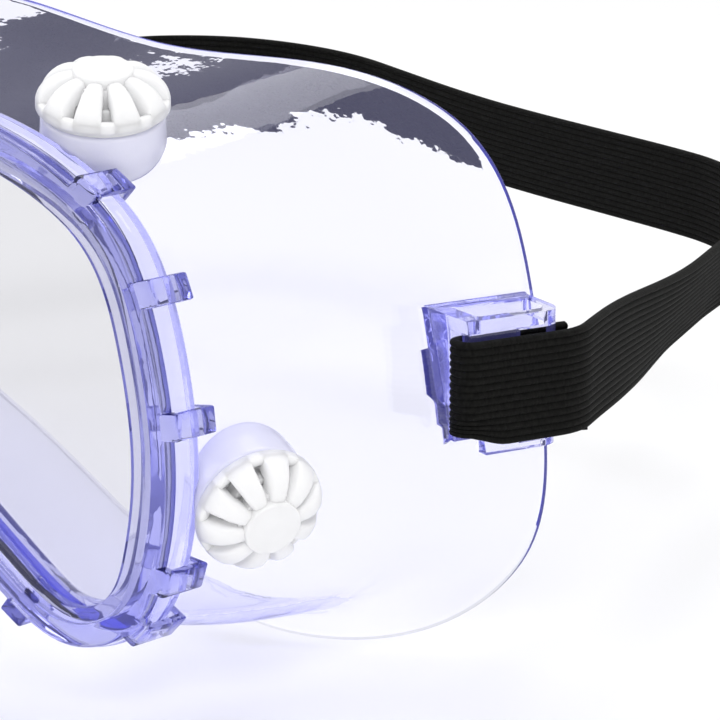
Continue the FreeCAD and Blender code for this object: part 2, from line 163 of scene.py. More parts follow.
BOSS_PROFILE = [(0, 2.4), (1.1, 2.4), (1.15, 2.5), (1.15, 2.9), (1.0, 3.0), (0, 3.0)]
BOSSES = 6
BOSS_CIRCLE = 3.1           # radius on which the bosses stand
CAP_RADIUS = 9.0
CAP_LOW = 4.1
CAP_TOP = 9.9
HUB_RADIUS = 4.05
RIM_PROFILE = [
    (8.7, CAP_LOW), (8.9, 4.18), (CAP_RADIUS, 4.4), (CAP_RADIUS, 5.2), (8.95, 5.5),
    (8.8, 5.72), (8.55, 5.8), (8.2, 5.78), (7.8, 5.6), (7.4, 5.3), (7.2, CAP_LOW),
]
HUB_PROFILE = [
    (0, 8.4), (3.9, 8.4), (HUB_RADIUS, 8.6), (HUB_RADIUS, 9.68), (3.98, 9.82),
    (3.8, 9.89), (3.5, CAP_TOP), (0, CAP_TOP),
]
STEM_PROFILE = [(0, 6.3), (4.55, 6.3), (4.62, 6.4), (4.62, 8.45), (0, 8.45)]
STEM_SKIRT_PROFILE = [(3.4, CAP_LOW), (4.62, CAP_LOW), (4.62, 6.4), (3.4, 6.4)]
FINS = 10
FIN_STATIONS = [2.6, 3.6, 4.4, 5.2, 6.0, 6.7, 7.3, 7.8, 8.2, 8.5, 8.72, 8.87, 8.95, 8.99]
FIN_RUN = 6.4               # radial run over which a fin widens
FIN_INNER_WIDTH = 1.75
FIN_OUTER_WIDTH = 3.75
FIN_SPLIT = 6.5             # radius where a fin's underside steps down
FIN_INNER_LOW = 6.4
FIN_OUTER_LOW = 4.3
FIN_FACETS = 12             # facets across a fin's crest
FIN_CROWN = 0.95            # how far the crest falls to its edges
FIN_ROUNDING = 2.6          # power of the crest's rounding
CREST_START = 3.6           # arc of the crest: centre, reach, foot and rise
CREST_REACH = 5.42
CREST_FOOT = 4.95
CREST_RISE = 4.5

# Strap guides ("lugs"), in their own axes: along the wall, out of it, and height.
LUG_FOOT = (86.4, 54.8)
LUG_ANGLE = math.radians(15.9)
LUG_LENGTH = 17.0
LUG_HEIGHT = 8.4
LUG_WALL = 1.7
LUG_PLATE = 2.0
LUG_LOW = -2.7
LUG_HIGH = 16.4
LUG_SINK = 2.5              # depth of the lug's foot in the skirt
LUG_CORNER = 3.2
LUG_FLOOR = 0.6
LUG_ROUNDING = 0.42
FRONT_SET = 1.05            # the front wall's lean
FRONT_SLOPE = 0.06
FRONT_LEAN = 0.165
SLOT_LOW = -1.7
SLOT_HIGH = 14.3
PLATE_END = 9.9
HOLLOW_FOOT = LUG_WALL + 2.2
HOLLOW_HEAD = LUG_WALL + 2.6
WINDOW_END = 2.0
WINDOW_FLOOR = 3.6
PASSAGE_END = 6.2
PASSAGE_FLOOR = 4.0
PASSAGE_SET = 0.2           # keeps the passage clear of the plate's plane
PASSAGE_TRIM = 0.1          # and of the window's sides
BEFORE_LUG = -3             # where a cutting tool ends outside the lug
ABOVE_LUG = 12

# Headband.
BAND_WIDTH = 15.0
BAND_OUT = 9.4              # band outside the plate, and its tail inside it
BAND_IN = 5.4
WRAP_FRONT = 2.5
TAIL_END = 20.8
TAIL_POINTS = 22
WRAP_POINTS = 12
TRACK_STEP = 0.8
TURN_IN = 19.0
TURN_RADIUS = 9.0
BAND_CORNER = (54.5, 171.0)
CORNER_RADIUS = 26.0
RIBS = 15
RIB_POINTS = 6
WEB_THICK = 0.38            # half thicknesses: between ribs, rise of a rib, at the edge
RIB_RISE = 0.36
RIB_SHAPE = 0.75
EDGE_THICK = 0.74
EDGE_LEAST = 0.02
CURL = 1.5                  # how far the lower edge curls up where it turns round the plate
TAIL_DROOP = 1.2            # at the tail's end, over DROOP_POINTS
DROOP_POINTS = 6
TAIL_SLANT = 3.8            # of the tail's cut end, over SLANT_POINTS
SLANT_POINTS = 10
LIFT_PLACES = [-158, -148, -118, -90, -75, -52, -15, 0, 37, 60, 81, 121, 145, 155]
LIFT_HEIGHTS = [0, 1.5, 10.0, 12.6, 12.2, 9.5, 4.6, 3.4, 1.3, -1.0, -2.3, -1.9, -0.3, 0]
LIFT_BLUR = 9
BAND_LEAN = math.radians(20)
LEAN_IN = (82, 122)
LEAN_OUT = (136, 168)

# Camera, light and floor.
CAMERA_TARGET = (77.6, 50.8, 8.5)
CAMERA_AZIMUTH = math.radians(45)
CAMERA_ELEVATION = math.radians(15)
CAMERA_DISTANCE = 0.45      # metres
CAMERA_LENS = 163
CAMERA_SENSOR = 36
FLOOR_REACH = 6.0           # metres
SKY_STRENGTH = 0.8
LIGHTS = [                  # name, place and size in metres, power in watts
    ("key", (0.9, -0.7, 1.1), 0.5, 5.0),
    ("fill", (-0.9, -0.8, 0.7), 0.6, 2.5),
    ("top", (0.0, 0.4, 1.4), 0.8, 4.0),
]
BOUNCES = 24                # enough for light to pass every clear wall
GLOSSY_BOUNCES = 8

VENT_JOINTS = [joint for joint in frame["joints"] if joint["child"].startswith("vent_cap")]


def place(x, y, z):
    return Vector((x * MM, y * MM + ZERO_Y, z * MM + ZERO_Z))


def place_all(points):
    placed = np.asarray(points, float) * MM
    placed[..., 1] += ZERO_Y
    placed[..., 2] += ZERO_Z
    return placed


# ---------------------------------------------------------------------------
# Mesh helpers
# ---------------------------------------------------------------------------

def make_object(name, verts, faces, sharp=SHARP):
    mesh = bpy.data.meshes.new(name)
    mesh.from_pydata([tuple(v) for v in verts], [], faces)
    tidy = bmesh.new()
    tidy.from_mesh(mesh)
    bmesh.ops.recalc_face_normals(tidy, faces=tidy.faces)
    tidy.to_mesh(mesh)
    tidy.free()
    obj = bpy.data.objects.new(name, mesh)
    bpy.context.scene.collection.objects.link(obj)
    smooth(obj, sharp)
    return obj


def smooth(obj, sharp):
    obj.data.polygons.foreach_set("use_smooth", [True] * len(obj.data.polygons))
    obj.data.set_sharp_from_angle(angle=sharp)


def ring_faces(count, rings, closed=False):
    """Quads between neighbouring rings of count points each."""
    faces = []
    last = rings if closed else rings - 1
    for i in range(last):
        a = i * count
        b = ((i + 1) % rings) * count
        for j in range(count):
            k = (j + 1) % count
            faces.append((a + j, a + k, b + k, b + j))
    return faces


def torus_object(name, rings):
    """Closed band of rings, the last joined to the first."""
    verts = np.concatenate(rings)
    return make_object(name, verts, ring_faces(len(rings[0]), len(rings), closed=True))


def capped_object(name, rings, sharp=SHARP):
    """Tube of rings with both ends filled."""
    count = len(rings[0])
    verts = np.concatenate(rings)
    faces = ring_faces(count, len(rings))
    faces.append(tuple(range(count)))
    start = (len(rings) - 1) * count
    faces.append(tuple(range(start, start + count)))
    return make_object(name, verts, faces, sharp)


def bake_modifiers(obj):
    graph = bpy.context.evaluated_depsgraph_get()
    mesh = bpy.data.meshes.new_from_object(obj.evaluated_get(graph))
    old = obj.data
    obj.modifiers.clear()
    obj.data = mesh
    bpy.data.meshes.remove(old)


def combine(obj, tool, operation):
    """Boolean with a tool object, which is then deleted."""
    modifier = obj.modifiers.new("combine", "BOOLEAN")
    modifier.solver = "EXACT"
    modifier.operation = operation
    modifier.object = tool
    bake_modifiers(obj)
    mesh = tool.data
    bpy.data.objects.remove(tool)
    bpy.data.meshes.remove(mesh)


def round_edges(obj, width, segments):
    modifier = obj.modifiers.new("round", "BEVEL")
    modifier.width = width * MM
    modifier.segments = segments
    modifier.limit_method = "ANGLE"
    modifier.angle_limit = SHARP
    bake_modifiers(obj)


def join(name, objects, sharp):
    """One object from several closed shells."""
    mesh = bpy.data.meshes.new(name)
    whole = bmesh.new()
    for obj in objects:
        whole.from_mesh(obj.data)
    whole.to_mesh(mesh)
    whole.free()
    for obj in objects:
        old = obj.data
        bpy.data.objects.remove(obj)
        bpy.data.meshes.remove(old)
    joined = bpy.data.objects.new(name, mesh)
    bpy.context.scene.collection.objects.link(joined)
    smooth(joined, sharp)
    return joined


def mirrored(points):
    flipped = np.array(points, float)
    flipped[..., 0] *= -1
    return flipped


# ---------------------------------------------------------------------------
# Outlines
# ---------------------------------------------------------------------------

def both_halves(half):
    return np.array(half + [(-x, z) for x, z in reversed(half[1:-1])], float)


RIM = both_halves(RIM_HALF)
SEAL = both_halves(SEAL_HALF)
PINCH = np.array(PINCH_HALF + PINCH_HALF[-2:0:-1], float)


def outward(points):
    """Unit normals of a closed outline, away from its inside."""
    run = np.roll(points, -1, axis=0) - np.roll(points, 1, axis=0)
    run /= np.linalg.norm(run, axis=1)[:, None]
    return np.stack([-run[:, 1], run[:, 0]], axis=1)


def grown(points, distance):
    return points + outward(points) * distance


def closed_spline(points):
    """Smooth closed curve through points of any dimension, with STEPS points a span."""
    gaps = np.linalg.norm(np.roll(points, -1, axis=0) - points, axis=1)
    count = len(points)
    system = np.zeros((count, count))
    right = np.zeros_like(points)
    for i in range(count):
        h0 = gaps[i - 1]
        h1 = gaps[i]
        system[i, i - 1] += h0
        system[i, i] += 2 * (h0 + h1)
        system[i, (i + 1) % count] += h1
        right[i] = 6 * ((points[(i + 1) % count] - points[i]) / h1
                        - (points[i] - points[i - 1]) / h0)
    bend = np.linalg.solve(system, right)
    samples = []
    for i in range(count):
        j = (i + 1) % count
        h = gaps[i]
        for step in range(STEPS):
            b = step / STEPS
            a = 1 - b
            samples.append(a * points[i] + b * points[j]
                           + ((a ** 3 - a) * bend[i] + (b ** 3 - b) * bend[j]) * h * h / 6)
    return np.array(samples)


def front_y(x, depth=0.0):
    """Depth of the bezel's bent front, or of a surface parallel to it."""
    return LENS_CURVE - np.sqrt((LENS_CURVE - depth) ** 2 - x ** 2)


def face_y(x):
    """Depth of the face edge."""
    return BROW_DEPTH + x ** 2 / (2 * FACE_CURVE)


def rim_ring(offset, depth):
    """Ring that follows the bezel outline at an offset and a depth behind its front."""
    flat = closed_spline(grown(RIM, offset))
    return place_all(np.stack([flat[:, 0], front_y(flat[:, 0], depth), flat[:, 1]], axis=1))


def wall_points(part, inset):
    """Skirt's section at a part of its run from flange to face, set in from its outside."""
    along = max(part, 0.0)
    shape = along ** 4 * (1 - along) / (PINCH_PEAK ** 4 * (1 - PINCH_PEAK))
    start = grown(RIM, -WALL_INSET)
    y0 = front_y(start[:, 0]) + FLANGE_BACK
    section = start + (SEAL - start) * part
    section -= outward(SEAL) * (LIP_PINCH * PINCH * shape)[:, None]
    section = grown(section, -inset)
    depth = y0 + (face_y(SEAL[:, 0]) - y0) * part
    return np.stack([section[:, 0], depth, section[:, 1]], axis=1)


def wall_ring(part, inset):
    return place_all(closed_spline(wall_points(part, inset)))


# ---------------------------------------------------------------------------
# Soft frame: turned shapes, strap guides, and the skirt with its collars
# ---------------------------------------------------------------------------

def axis_frame(axis):
    up = Vector(axis).normalized()
    side = up.cross(Vector((0, 1, 0))).normalized()
    return side, up.cross(side), up


def lathe(name, profile, foot, axis, count=96):
    """Vent profile turned about an axis through a foot. It may start and end on the axis."""
    side, other, up = axis_frame(axis)
    rings = []
    for radius, height in profile:
        ring = []
        for i in range(count):
            turn = 2 * math.pi * i / count
            ring.append(foot + up * (height * MM)
                        + (side * math.cos(turn) + other * math.sin(turn)) * (radius * MM))
        rings.append(np.array(ring))
    if profile[0][0] == 0:
        verts = np.concatenate(rings[1:-1])
        count_mid = len(rings) - 2
        faces = ring_faces(count, count_mid)
        verts = np.concatenate([verts, rings[0][:1], rings[-1][:1]])
        top = count * count_mid
        for i in range(count):
            j = (i + 1) % count
            faces.append((i, j, top))
            faces.append((top - count + j, top - count + i, top + 1))
        return make_object(name, verts, faces)
    return torus_object(name, rings)


def lug_points(points):
    """From the lug's own axes (along the wall, outwards, height) to the object's."""
    p = np.asarray(points, float)
    x = LUG_FOOT[0] + p[:, 0] * math.sin(LUG_ANGLE) + p[:, 1] * math.cos(LUG_ANGLE)
    y = LUG_FOOT[1] + p[:, 0] * math.cos(LUG_ANGLE) - p[:, 1] * math.sin(LUG_ANGLE)
    return np.stack([x, y, p[:, 2]], axis=1)


def lug_prism(name, plan, low, high, side, lean=False):
    """Upright prism on a plan of (along, out) points in the lug's axes."""
    rings = []
    for z in (low, high):
        ring = []
        for a, o in plan:
            if lean and a <= 0.01:
                a = a + FRONT_SET + FRONT_SLOPE * o + FRONT_LEAN * (LUG_HIGH - z)
            ring.append((a, o, z))
        points = lug_points(ring)
        if side < 0:
            points = mirrored(points)
        rings.append(place_all(points))
    return capped_object(name, rings)


def arc_points(centre, first, last, count):
    """Points of an arc about a centre, from one arm of it to the other."""
    reach = first.length
    return [centre + first.slerp(last, step / count) * reach for step in range(count + 1)]


def rounded_plan(points, radii, count=6):
    """Plan polygon with some corners rounded."""
    out = []
    total = len(points)
    for i, (corner, radius) in enumerate(zip(points, radii)):
        corner = Vector(corner)
        if radius == 0:
            out.append(tuple(corner))
            continue
        back = (Vector(points[i - 1]) - corner).normalized()
        ahead = (Vector(points[(i + 1) % total]) - corner).normalized()
        half = back.angle(ahead) / 2
        centre = corner + (back + ahead).normalized() * (radius / math.sin(half))
        first = corner + back * (radius / math.tan(half)) - centre
        last = corner + ahead * (radius / math.tan(half)) - centre
        out += [tuple(spot) for spot in arc_points(centre, first, last, count)]
    return out


def box_plan(start, end, inner, outer):
    """Plan of a cutting tool: from start to end along the wall, from inner to outer."""
    return [(start, inner), (start, outer), (end, outer), (end, inner)]


def build_lug(side):
    inside = LUG_LENGTH - LUG_WALL
    under = LUG_HEIGHT - LUG_PLATE
    plan = rounded_plan([(0, -LUG_SINK), (0, LUG_HEIGHT), (LUG_LENGTH, LUG_HEIGHT),
                         (LUG_LENGTH, -LUG_SINK)], [0, 0, LUG_CORNER, 0])
    lug = lug_prism("lug", plan, LUG_LOW, LUG_HIGH, side, lean=True)
    hollow = rounded_plan([(HOLLOW_FOOT, LUG_FLOOR), (HOLLOW_HEAD, under), (inside, under),
                           (inside, LUG_FLOOR)], [0.8, 0.8, 1.4, 0.8], 4)
    combine(lug, lug_prism("tool", hollow, LUG_LOW - 1, LUG_HIGH + 1, side), "DIFFERENCE")
    window = box_plan(BEFORE_LUG, WINDOW_END, WINDOW_FLOOR, ABOVE_LUG)
    passage = box_plan(BEFORE_LUG, PASSAGE_END, PASSAGE_FLOOR, under - PASSAGE_SET)
    slot = box_plan(PLATE_END, inside, LUG_FLOOR, ABOVE_LUG)
    rear = box_plan(inside - 1, LUG_LENGTH + 1, LUG_FLOOR, under)
    for cut, trim in ((window, 0), (passage, PASSAGE_TRIM), (slot, 0), (rear, 0)):
        tool = lug_prism("tool", cut, SLOT_LOW + trim, SLOT_HIGH - trim, side)
        combine(lug, tool, "DIFFERENCE")
    round_edges(lug, LUG_ROUNDING, 3)
    return lug


def build_frame():
    """The clear moulding, and its four milky collars as pieces of their own."""
    rings = [rim_ring(offset, depth) for offset, depth in FLANGE_FRONT]
    rings += [wall_ring(part, 0.0) for part in WALL_PARTS]
    rings += [wall_ring(part, inset) for part, inset in WALL_EDGE]
    for part in reversed(WALL_PARTS[2:]):
        thin = min(max((part - EDGE_START) / EDGE_RUN, 0.0), 1.0)
        rings.append(wall_ring(part, WALL + (EDGE_WALL - WALL) * thin))
    rings.append(wall_ring(WALL_PARTS[0], WALL + FOOT_EXTRA))
    rings += [rim_ring(offset, depth) for offset, depth in FLANGE_REAR]
    body = torus_object("soft_frame", rings)
    core_rings = [wall_ring(part, WALL) for part in CORE_PARTS]
    shell_rings = [wall_ring(part, COLLAR_BITE) for part in CORE_PARTS]
    collars = []
    for joint in VENT_JOINTS:
        name = joint["child"].replace("cap", "collar")
        collars.append(lathe(name, COLLAR_PROFILE, Vector(joint["pos_m"]), joint["axis"]))
    lugs = [build_lug(1), build_lug(-1)]
    for collar in collars:
        combine(collar, capped_object("core", shell_rings), "DIFFERENCE")
    for lug in lugs:
        combine(lug, capped_object("core", core_rings), "DIFFERENCE")
        combine(body, lug, "UNION")
    for joint in VENT_JOINTS:
        port = lathe("port", PORT_PROFILE, Vector(joint["pos_m"]), joint["axis"], 64)
        combine(body, port, "DIFFERENCE")
    for piece in [body] + collars:
        smooth(piece, SHARP_MERGED)
        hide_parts("face_frame")
        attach(piece, "frame")
    return body, collars


# ---------------------------------------------------------------------------
# Bezel and lens
# ---------------------------------------------------------------------------

def nearest_on(curve, point):
    """Place on a closed curve nearest to a point, and the curve's direction there."""
    gaps = np.linalg.norm(curve - np.array(point), axis=1)
    i = int(gaps.argmin())
    run = curve[(i + 1) % len(curve)] - curve[i - 1]
    run /= np.linalg.norm(run)
    offset = (np.array(point) - curve[i]) @ run
    return curve[i] + run * offset, run


def build_hook(curve, point, side):
    spot, run = nearest_on(curve, point)
    out = np.array([-run[1], run[0]])
    rings = []
    for shift in (-HOOK_LENGTH / 2, HOOK_LENGTH / 2):
        ring = []
        for away, depth in HOOK_SECTION:
            x, z = spot + run * shift + out * away
            ring.append((x * side, front_y(x, depth), z))
        rings.append(place_all(ring))
    hook = capped_object("hook", rings)
    round_edges(hook, HOOK_ROUNDING, 2)
    return hook


def build_bezel():
    bezel = torus_object("bezel_ring", [rim_ring(a, t) for a, t in BEZEL_PROFILE])
    curve = closed_spline(RIM)
    for point in HOOKS:
        for side in (1, -1):
            combine(bezel, build_hook(curve, point, side), "UNION")
    smooth(bezel, SHARP_MERGED)
    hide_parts("lens_bezel")
    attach(bezel, "frame")
    return bezel


def build_lens():
    edge = closed_spline(grown(RIM, -LENS_INSET))
    middle = np.array(LENS_MIDDLE)

    def sheet_ring(scale, depth):
        flat = middle + (edge - middle) * scale
        return place_all(np.stack([flat[:, 0], front_y(flat[:, 0], depth), flat[:, 1]], axis=1))

    rings = [sheet_ring(scale, LENS_FRONT) for scale in LENS_SCALES]
    rings += [sheet_ring(scale, depth) for scale, depth in LENS_EDGE]
    rings += [sheet_ring(scale, LENS_BACK) for scale in reversed(LENS_SCALES)]
    lens = capped_object("lens_sheet", rings)
    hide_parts("lens")
    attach(lens, "frame")
    return lens


# ---------------------------------------------------------------------------
# Vents: a fixed base and a cap that turns
# ---------------------------------------------------------------------------

def fin_top(radius):
    """Height of a fin's crest: an arc from the hub over to the cap's rim."""
    part = (radius - CREST_START) / CREST_REACH
    return CREST_FOOT + CREST_RISE * math.sqrt(max(1 - part ** 2, 0.0))


def build_fin(foot, axis, turn):
    side, other, up = axis_frame(axis)

    def spot(radius, across, height):
        angle = turn + across / radius
        outwards = side * math.cos(angle) + other * math.sin(angle)
        return foot + outwards * (radius * MM) + up * (height * MM)

    rings = []
    for radius in FIN_STATIONS:
        widening = (FIN_OUTER_WIDTH - FIN_INNER_WIDTH) * (radius - FIN_STATIONS[0]) / FIN_RUN
        width = FIN_INNER_WIDTH + widening
        crest = fin_top(radius)
        low = FIN_INNER_LOW if radius < FIN_SPLIT else FIN_OUTER_LOW
        ring = []
        for i in range(FIN_FACETS + 1):
            s = -1 + 2 * i / FIN_FACETS
            drop = FIN_CROWN * (1 - (1 - abs(s) ** FIN_ROUNDING) ** (1 / FIN_ROUNDING))
            height = max(crest - min(drop, 0.25 * (crest - low)), low + 0.1)
            ring.append(spot(radius, s * width / 2, height))
        ring.append(spot(radius, width / 2, low))
        ring.append(spot(radius, -width / 2, low))
        rings.append(np.array(ring))
    return capped_object("fin", rings, SHARP_VENT)


def build_base(joint):
    """Fixed part of a vent: a sleeve through the collar, a grid and a short spigot."""
    foot = Vector(joint["pos_m"])
    axis = joint["axis"]
    name = joint["child"].replace("cap", "base")
    shells = [lathe("sleeve", SLEEVE_PROFILE, foot, axis),
              lathe("grid", GRID_PROFILE, foot, axis, 48)]
    side, other, _ = axis_frame(axis)
    for i in range(BOSSES):
        turn = 2 * math.pi * i / BOSSES
        outwards = side * math.cos(turn) + other * math.sin(turn)
        shells.append(lathe("boss", BOSS_PROFILE, foot + outwards * (BOSS_CIRCLE * MM), axis, 24))
    base = join(name + "_sleeve", shells, SHARP_VENT)
    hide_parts(name)
    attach(base, "frame")
    return base


def build_cap(joint):
    foot = Vector(joint["pos_m"])
    axis = joint["axis"]
    name = joint["child"]
    shells = [lathe("rim", RIM_PROFILE, foot, axis), lathe("hub", HUB_PROFILE, foot, axis, 64),
              lathe("stem", STEM_PROFILE, foot, axis, 48),
              lathe("stem_skirt", STEM_SKIRT_PROFILE, foot, axis, 48)]
    first = 0.5 if "upper" in name else 0.0
    shells += [build_fin(foot, axis, 2 * math.pi * (i + first) / FINS) for i in range(FINS)]
    cap = join(name + "_finned", shells, SHARP_VENT)
    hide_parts(name)
    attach(cap, name)
    return cap


# ---------------------------------------------------------------------------
# Headband
# ---------------------------------------------------------------------------

def plan_track(points, radii, step):
    """Evenly spaced plan points along straight runs joined by arcs."""
    track = []
    start = Vector(points[0])
    for i in range(1, len(points)):
        corner = Vector(points[i])
        if i == len(points) - 1:
            pieces = [("line", start, corner)]
        else:
            back = (Vector(points[i - 1]) - corner).normalized()
            ahead = (Vector(points[i + 1]) - corner).normalized()
            half = back.angle(ahead) / 2
            first = corner + back * (radii[i] / math.tan(half))
            last = corner + ahead * (radii[i] / math.tan(half))
            centre = corner + (back + ahead).normalized() * (radii[i] / math.sin(half))
            pieces = [("line", start, first), ("arc", first, last, centre)]
            start = last
        for piece in pieces:
            if piece[0] == "line":
                length = (piece[2] - piece[1]).length
                count = max(int(length / step), 1)
                track += [piece[1].lerp(piece[2], n / count) for n in range(count)]
            else:
                a = piece[1] - piece[3]
                b = piece[2] - piece[3]
                count = max(int(a.angle(b) * a.length / step), 3)
                track += arc_points(piece[3], a, b, count)[:-1]
    track.append(Vector(points[-1]))
    return track


def lug_plan(along, out):
    x, y, _ = lug_points([(along, out, 0)])[0]
    return Vector((x, y))


def half_track():
    """Plan of the band from its tail in the left lug to the middle of the back."""
    radius = (BAND_OUT - BAND_IN) / 2
    track = [lug_plan(TAIL_END + (WRAP_FRONT - TAIL_END) * n / TAIL_POINTS, BAND_IN)
             for n in range(TAIL_POINTS)]
    for n in range(WRAP_POINTS + 1):
        turn = math.pi * n / WRAP_POINTS
        track.append(lug_plan(WRAP_FRONT - radius * math.sin(turn),
                              BAND_IN + radius * (1 - math.cos(turn))))
    rest = plan_track([tuple(lug_plan(WRAP_FRONT, BAND_OUT)), tuple(lug_plan(TURN_IN, BAND_OUT)),
                       BAND_CORNER, (0, BAND_CORNER[1])],
                      [0, TURN_RADIUS, CORNER_RADIUS, 0], TRACK_STEP)
    return track + rest[1:], len(track)


def rib_section():
    """Cross-section of the ribbed elastic: (across the width, out of the face)."""
    count = RIBS * RIB_POINTS
    face = []
    for i in range(count + 1):
        across = i / count
        rib = abs(math.sin(math.pi * across * RIBS))
        edge = min(across, 1 - across) * RIBS
        thick = WEB_THICK + RIB_RISE * rib ** RIB_SHAPE
        if edge < 0.5:
            thick = EDGE_THICK * math.sqrt(max(1 - (1 - edge / 0.5) ** 2, 0.0)) + EDGE_LEAST
        face.append(((across - 0.5) * BAND_WIDTH, thick))
    back = [(a, -t) for a, t in reversed(face)]
    return face + back


def smoothstep(value, start, end):
    t = min(max((value - start) / (end - start), 0.0), 1.0)
    return t * t * (3 - 2 * t)


def band_lifts(lengths):
    """Rise of the slack band along its length: LIFT_HEIGHTS by distance from its middle."""
    middle = lengths[-1] / 2
    spread = np.linspace(-LIFT_BLUR, LIFT_BLUR, 13)
    return np.mean([np.interp(middle - lengths + shift, LIFT_PLACES, LIFT_HEIGHTS)
                    for shift in spread], axis=0)


def build_band():
    left, wrap_count = half_track()
    right = [Vector((-p.x, p.y)) for p in reversed(left[:-1])]
    track = left + right
    total = len(track)
    section = rib_section()
    count = len(section)
    lengths = [0.0]
    for a, b in zip(track, track[1:]):
        lengths.append(lengths[-1] + (b - a).length)
    lifts = band_lifts(np.array(lengths))
    rings = []
    for i, point in enumerate(track):
        run = (track[min(i + 1, total - 1)] - track[max(i - 1, 0)]).normalized()
        near = min(i, total - 1 - i)
        side = 1 if i <= total // 2 else -1
        out = Vector((run.y, -run.x, 0))
        lean = 0.0
        if near > wrap_count:
            lean = (BAND_LEAN * smoothstep(point.y, *LEAN_IN)
                    * (1 - smoothstep(point.y, *LEAN_OUT)))
        level = BAND_LEVEL + lifts[i]
        ahead = Vector((run.x, run.y, 0))
        up = Vector((0, 0, 1)) * math.cos(lean) + out * math.sin(lean)
        flat = out * math.cos(lean) - Vector((0, 0, 1)) * math.sin(lean)
        ring = []
        curl = CURL * (smoothstep(near, wrap_count - 20, wrap_count - 9)
                       * (1 - smoothstep(near, wrap_count - 3, wrap_count + 5)))
        droop = TAIL_DROOP * (1 - smoothstep(near, 0, DROOP_POINTS))
        for across, thick in section:
            low_side = smoothstep(-across / BAND_WIDTH, 0.2, 0.5)
            slant = 0.0
            if near < SLANT_POINTS:
                slant = across / BAND_WIDTH * TAIL_SLANT * (1 - near / SLANT_POINTS) * side
            shift = curl * low_side - droop * low_side
            spot = (Vector((point.x, point.y, level)) + up * (across + shift) + flat * thick
                    + ahead * slant)
            ring.append(tuple(spot))
        rings.append(place_all(ring))
    verts = np.concatenate(rings)
    faces = ring_faces(count, total)
    half = count // 2
    for base in (0, (total - 1) * count):
        for j in range(half - 1):
            faces.append((base + j, base + j + 1, base + count - 2 - j, base + count - 1 - j))
    band = make_object("elastic_band", verts, faces, SHARP_BAND)
    mesh = band.data
    uv = mesh.uv_layers.new(name="UVMap")
    for poly in mesh.polygons:
        for loop in poly.loop_indices:
            vertex = mesh.loops[loop].vertex_index
            uv.data[loop].uv = (lengths[vertex // count] * MM, section[vertex % count][0] * MM)
    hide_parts("band_loop_left", "band_loop_right", "band_bend_left", "band_bend_right",
                "headband")
    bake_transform(band)
    return band


# ---------------------------------------------------------------------------
# Materials
# ---------------------------------------------------------------------------

class Nodes:
    def __init__(self, name):
        self.material = bpy.data.materials.new(name)
        self.material.use_nodes = True
        self.tree = self.material.node_tree
        self.tree.nodes.clear()
        self.output = self.add("ShaderNodeOutputMaterial")

    def add(self, kind, **values):
        node = self.tree.nodes.new(kind)
        for key, value in values.items():
            if key in node.bl_rna.properties:
                setattr(node, key, value)
            else:
                node.inputs[key.replace("_", " ")].default_value = value
        return node

    def link(self, source, out, target, into):
        self.tree.links.new(source.outputs[out], target.inputs[into])


def clear_material(name, base, roughness, ior, tint, density, painted_glow, bumps):
    """Clear plastic that absorbs light, with a painted blue glow and bumps of (scale, strength,
    distance).
    """
    nodes = Nodes(name)
    shader = nodes.add("ShaderNodeBsdfPrincipled")
    shader.inputs["Base Color"].default_value = (*base, 1)
    shader.inputs["Transmission Weight"].default_value = 1.0
    shader.inputs["Roughness"].default_value = roughness
    shader.inputs["IOR"].default_value = ior
    # Emission paints a faint blue glow on the plastic, a painted light that no lamp gives, which
    # lifts its dark parts towards slate-blue.
    if painted_glow:
        shader.inputs["Emission Color"].default_value = (0.3, 0.3, 1.0, 1)
        shader.inputs["Emission Strength"].default_value = painted_glow
    where = nodes.add("ShaderNodeTexCoord")
    height = None
    for scale, strength, distance in bumps:
        noise = nodes.add("ShaderNodeTexNoise", Scale=scale, Detail=2.0, Roughness=0.5)
        nodes.link(where, "Object", noise, "Vector")
        bump = nodes.add("ShaderNodeBump", Strength=strength, Distance=distance)
        nodes.link(noise, "Fac", bump, "Height")
        if height is not None:
            nodes.link(height, "Normal", bump, "Normal")
        height = bump
    nodes.link(height, "Normal", shader, "Normal")
    clear = nodes.add("ShaderNodeBsdfTransparent")
    clear.inputs["Color"].default_value = (0.97, 0.97, 0.99, 1)
    ray = nodes.add("ShaderNodeLightPath")
    mix = nodes.add("ShaderNodeMixShader")
    nodes.link(ray, "Is Shadow Ray", mix, 0)
    nodes.link(shader, 0, mix, 1)
    nodes.link(clear, 0, mix, 2)
    nodes.link(mix, 0, nodes.output, "Surface")
    volume = nodes.add("ShaderNodeVolumeAbsorption")
    volume.inputs["Color"].default_value = (*tint, 1)
    volume.inputs["Density"].default_value = density
    nodes.link(volume, 0, nodes.output, "Volume")
    return nodes.material


def white_material(name, pale, deep, roughness):
    nodes = Nodes(name)
    shader = nodes.add("ShaderNodeBsdfPrincipled")
    shader.inputs["Roughness"].default_value = roughness
    shader.inputs["Subsurface Weight"].default_value = 0.25
    shader.inputs["Subsurface Radius"].default_value = (1.0, 1.0, 1.0)
    shader.inputs["Subsurface Scale"].default_value = 0.0012
    where = nodes.add("ShaderNodeTexCoord")
    noise = nodes.add("ShaderNodeTexNoise", Scale=350.0, Detail=3.0)
    nodes.link(where, "Object", noise, "Vector")
    ramp = nodes.add("ShaderNodeValToRGB")
    ramp.color_ramp.elements[0].color = (*deep, 1)
    ramp.color_ramp.elements[1].color = (*pale, 1)
    nodes.link(noise, "Fac", ramp, "Fac")
    nodes.link(ramp, "Color", shader, "Base Color")
    fine = nodes.add("ShaderNodeTexNoise", Scale=2600.0, Detail=2.0)
    nodes.link(where, "Object", fine, "Vector")
    bump = nodes.add("ShaderNodeBump", Strength=0.12, Distance=0.0001)
    nodes.link(fine, "Fac", bump, "Height")
    nodes.link(bump, "Normal", shader, "Normal")
    nodes.link(shader, 0, nodes.output, "Surface")
    return nodes.material


